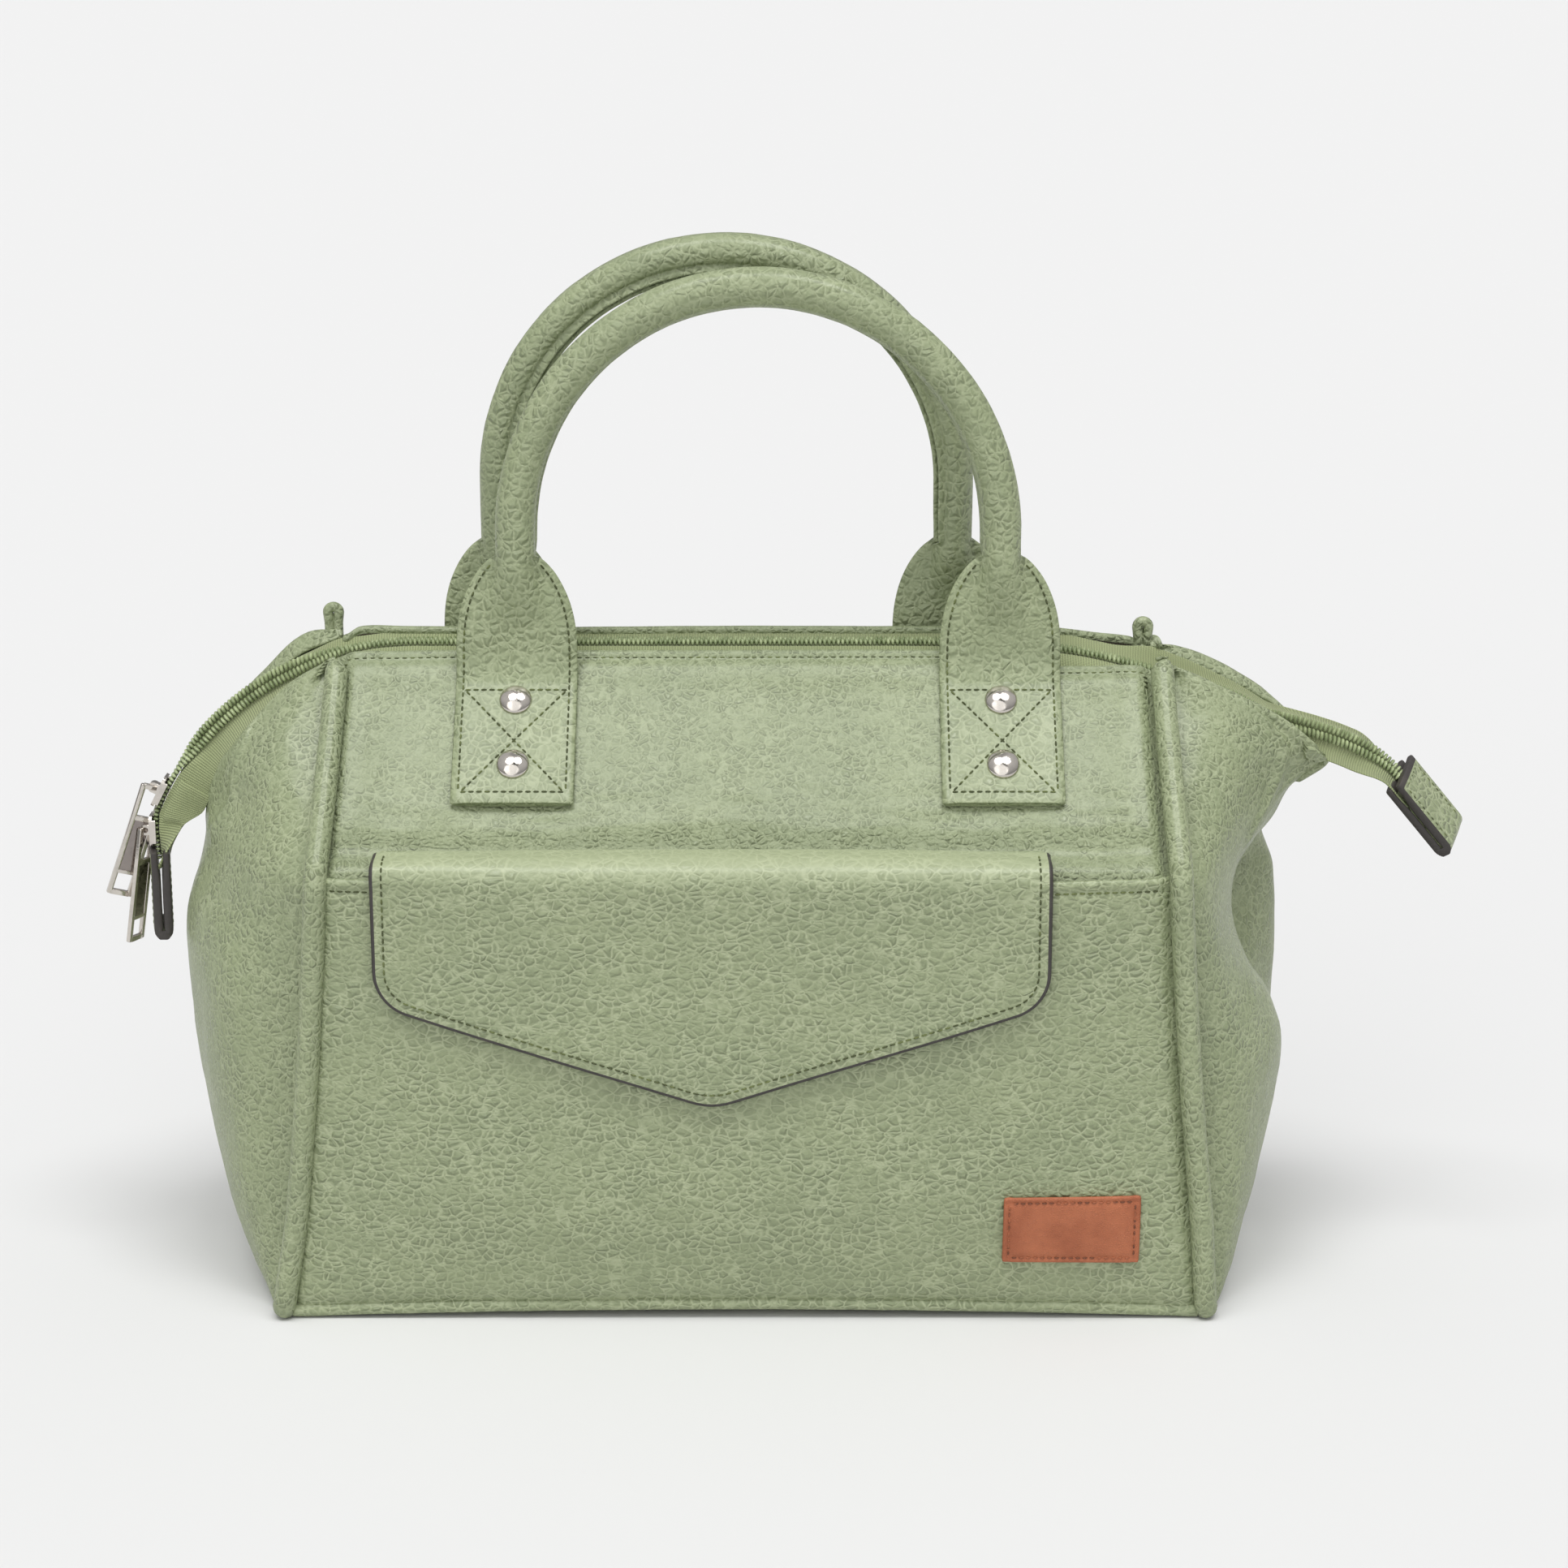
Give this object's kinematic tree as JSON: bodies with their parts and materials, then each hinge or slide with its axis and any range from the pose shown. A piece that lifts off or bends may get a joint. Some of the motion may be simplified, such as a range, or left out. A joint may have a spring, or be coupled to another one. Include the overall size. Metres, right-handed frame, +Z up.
{
  "type": "top handle bag",
  "caption": "Structured pebbled leather handbag with rolled top handles, a zip running out past both ends, hinged mouth frames and a front pocket under an envelope flap.",
  "frame": {"origin": "middle of the base panel, on the surface the bag stands on", "axes": "+X along the length to the side with the bare patch, -Y the flap side, +Z up"},
  "size_m": [0.4531, 0.1475, 0.3446],
  "materials": {
    "sage_leather": "pebbled, soft sheen",
    "tan_leather": "smooth, matt",
    "lining_cloth": "plain weave",
    "zip_woven": "woven tape with nylon teeth",
    "nickel": "polished nickel plate",
    "frame_steel": "bare wire",
    "magnet": "plated disc",
    "board": "stiff base board",
    "cord_filler": "soft foam cord"
  },
  "bodies": {
    "shell": {"base_panel": "sage_leather", "base_board": "board", "lower_front": "sage_leather", "lower_rear": "sage_leather", "pocket_panel": "sage_leather", "gusset_left": "sage_leather", "gusset_right": "sage_leather", "side_pipings_front": "sage_leather", "side_pipings_rear": "sage_leather", "bottom_pipings": "sage_leather", "lining": "lining_cloth", "leather_patch": "tan_leather", "pocket_magnet": "magnet", "zip_half_front": "zip_woven", "zip_half_rear": "zip_woven", "zip_tab_left": "sage_leather", "zip_tab_right": "sage_leather", "frame_hinge_rivets": "nickel"},
    "front_frame": {"front_yoke": "sage_leather", "front_frame_wire": "frame_steel", "front_handle_ends": "sage_leather", "front_handle_rivets": "nickel"},
    "rear_frame": {"rear_yoke": "sage_leather", "rear_frame_wire": "frame_steel", "rear_handle_ends": "sage_leather", "rear_handle_rivets": "nickel"},
    "front_handle": {"front_handle_roll": "sage_leather", "front_handle_core": "cord_filler"},
    "rear_handle": {"rear_handle_roll": "sage_leather", "rear_handle_core": "cord_filler"},
    "flap": {"flap_leather": "sage_leather", "flap_lining": "lining_cloth", "flap_magnet": "magnet"},
    "slider_1": {"slider_1": "nickel"},
    "slider_2": {"slider_2": "nickel"},
    "pull_1": {"pull_1": "nickel"},
    "pull_2": {"pull_2": "nickel"}
  },
  "joints": [
    {"name": "front_frame_hinge", "type": "hinge", "parent": "shell", "child": "front_frame", "pos_m": [0, 0, 0.15], "axis": [1, 0, 0], "range_deg": [0, 10], "deforming": ["gusset_left", "gusset_right", "side_pipings_front", "zip_half_front"]},
    {"name": "rear_frame_hinge", "type": "hinge", "parent": "shell", "child": "rear_frame", "pos_m": [0, 0, 0.15], "axis": [-1, 0, 0], "range_deg": [0, 10], "deforming": ["side_pipings_rear", "zip_half_rear"]},
    {"name": "front_handle_swing", "type": "hinge", "parent": "front_frame", "child": "front_handle", "pos_m": [0, -0.01663, 0.20641], "axis": [-1, 0, 0], "range_deg": [-105, 0]},
    {"name": "rear_handle_swing", "type": "hinge", "parent": "rear_frame", "child": "rear_handle", "pos_m": [0, 0.01663, 0.20641], "axis": [1, 0, 0], "range_deg": [-105, 0]},
    {"name": "flap_lift", "type": "hinge", "parent": "shell", "child": "flap", "pos_m": [0, -0.06008, 0.1585], "axis": [-1, 0, 0], "range_deg": [0, 135]},
    {"name": "slider_1_travel", "type": "hinge", "parent": "shell", "child": "slider_1", "pos_m": [-0.1086, 0, 0.1155], "axis": [0, 1, 0], "range_deg": [0, 42]},
    {"name": "slider_2_travel", "type": "slide", "parent": "shell", "child": "slider_2", "axis": [0, 0, 1], "range_m": [0, 0.0007]},
    {"name": "pull_1_swing", "type": "hinge", "parent": "slider_1", "child": "pull_1", "pos_m": [-0.19783, 0, 0.16195], "axis": [0, 1, 0], "range_deg": [0, 110]},
    {"name": "pull_2_swing", "type": "hinge", "parent": "slider_2", "child": "pull_2", "pos_m": [-0.20121, 0, 0.1472], "axis": [0, 1, 0], "range_deg": [0, 14]}
  ]
}
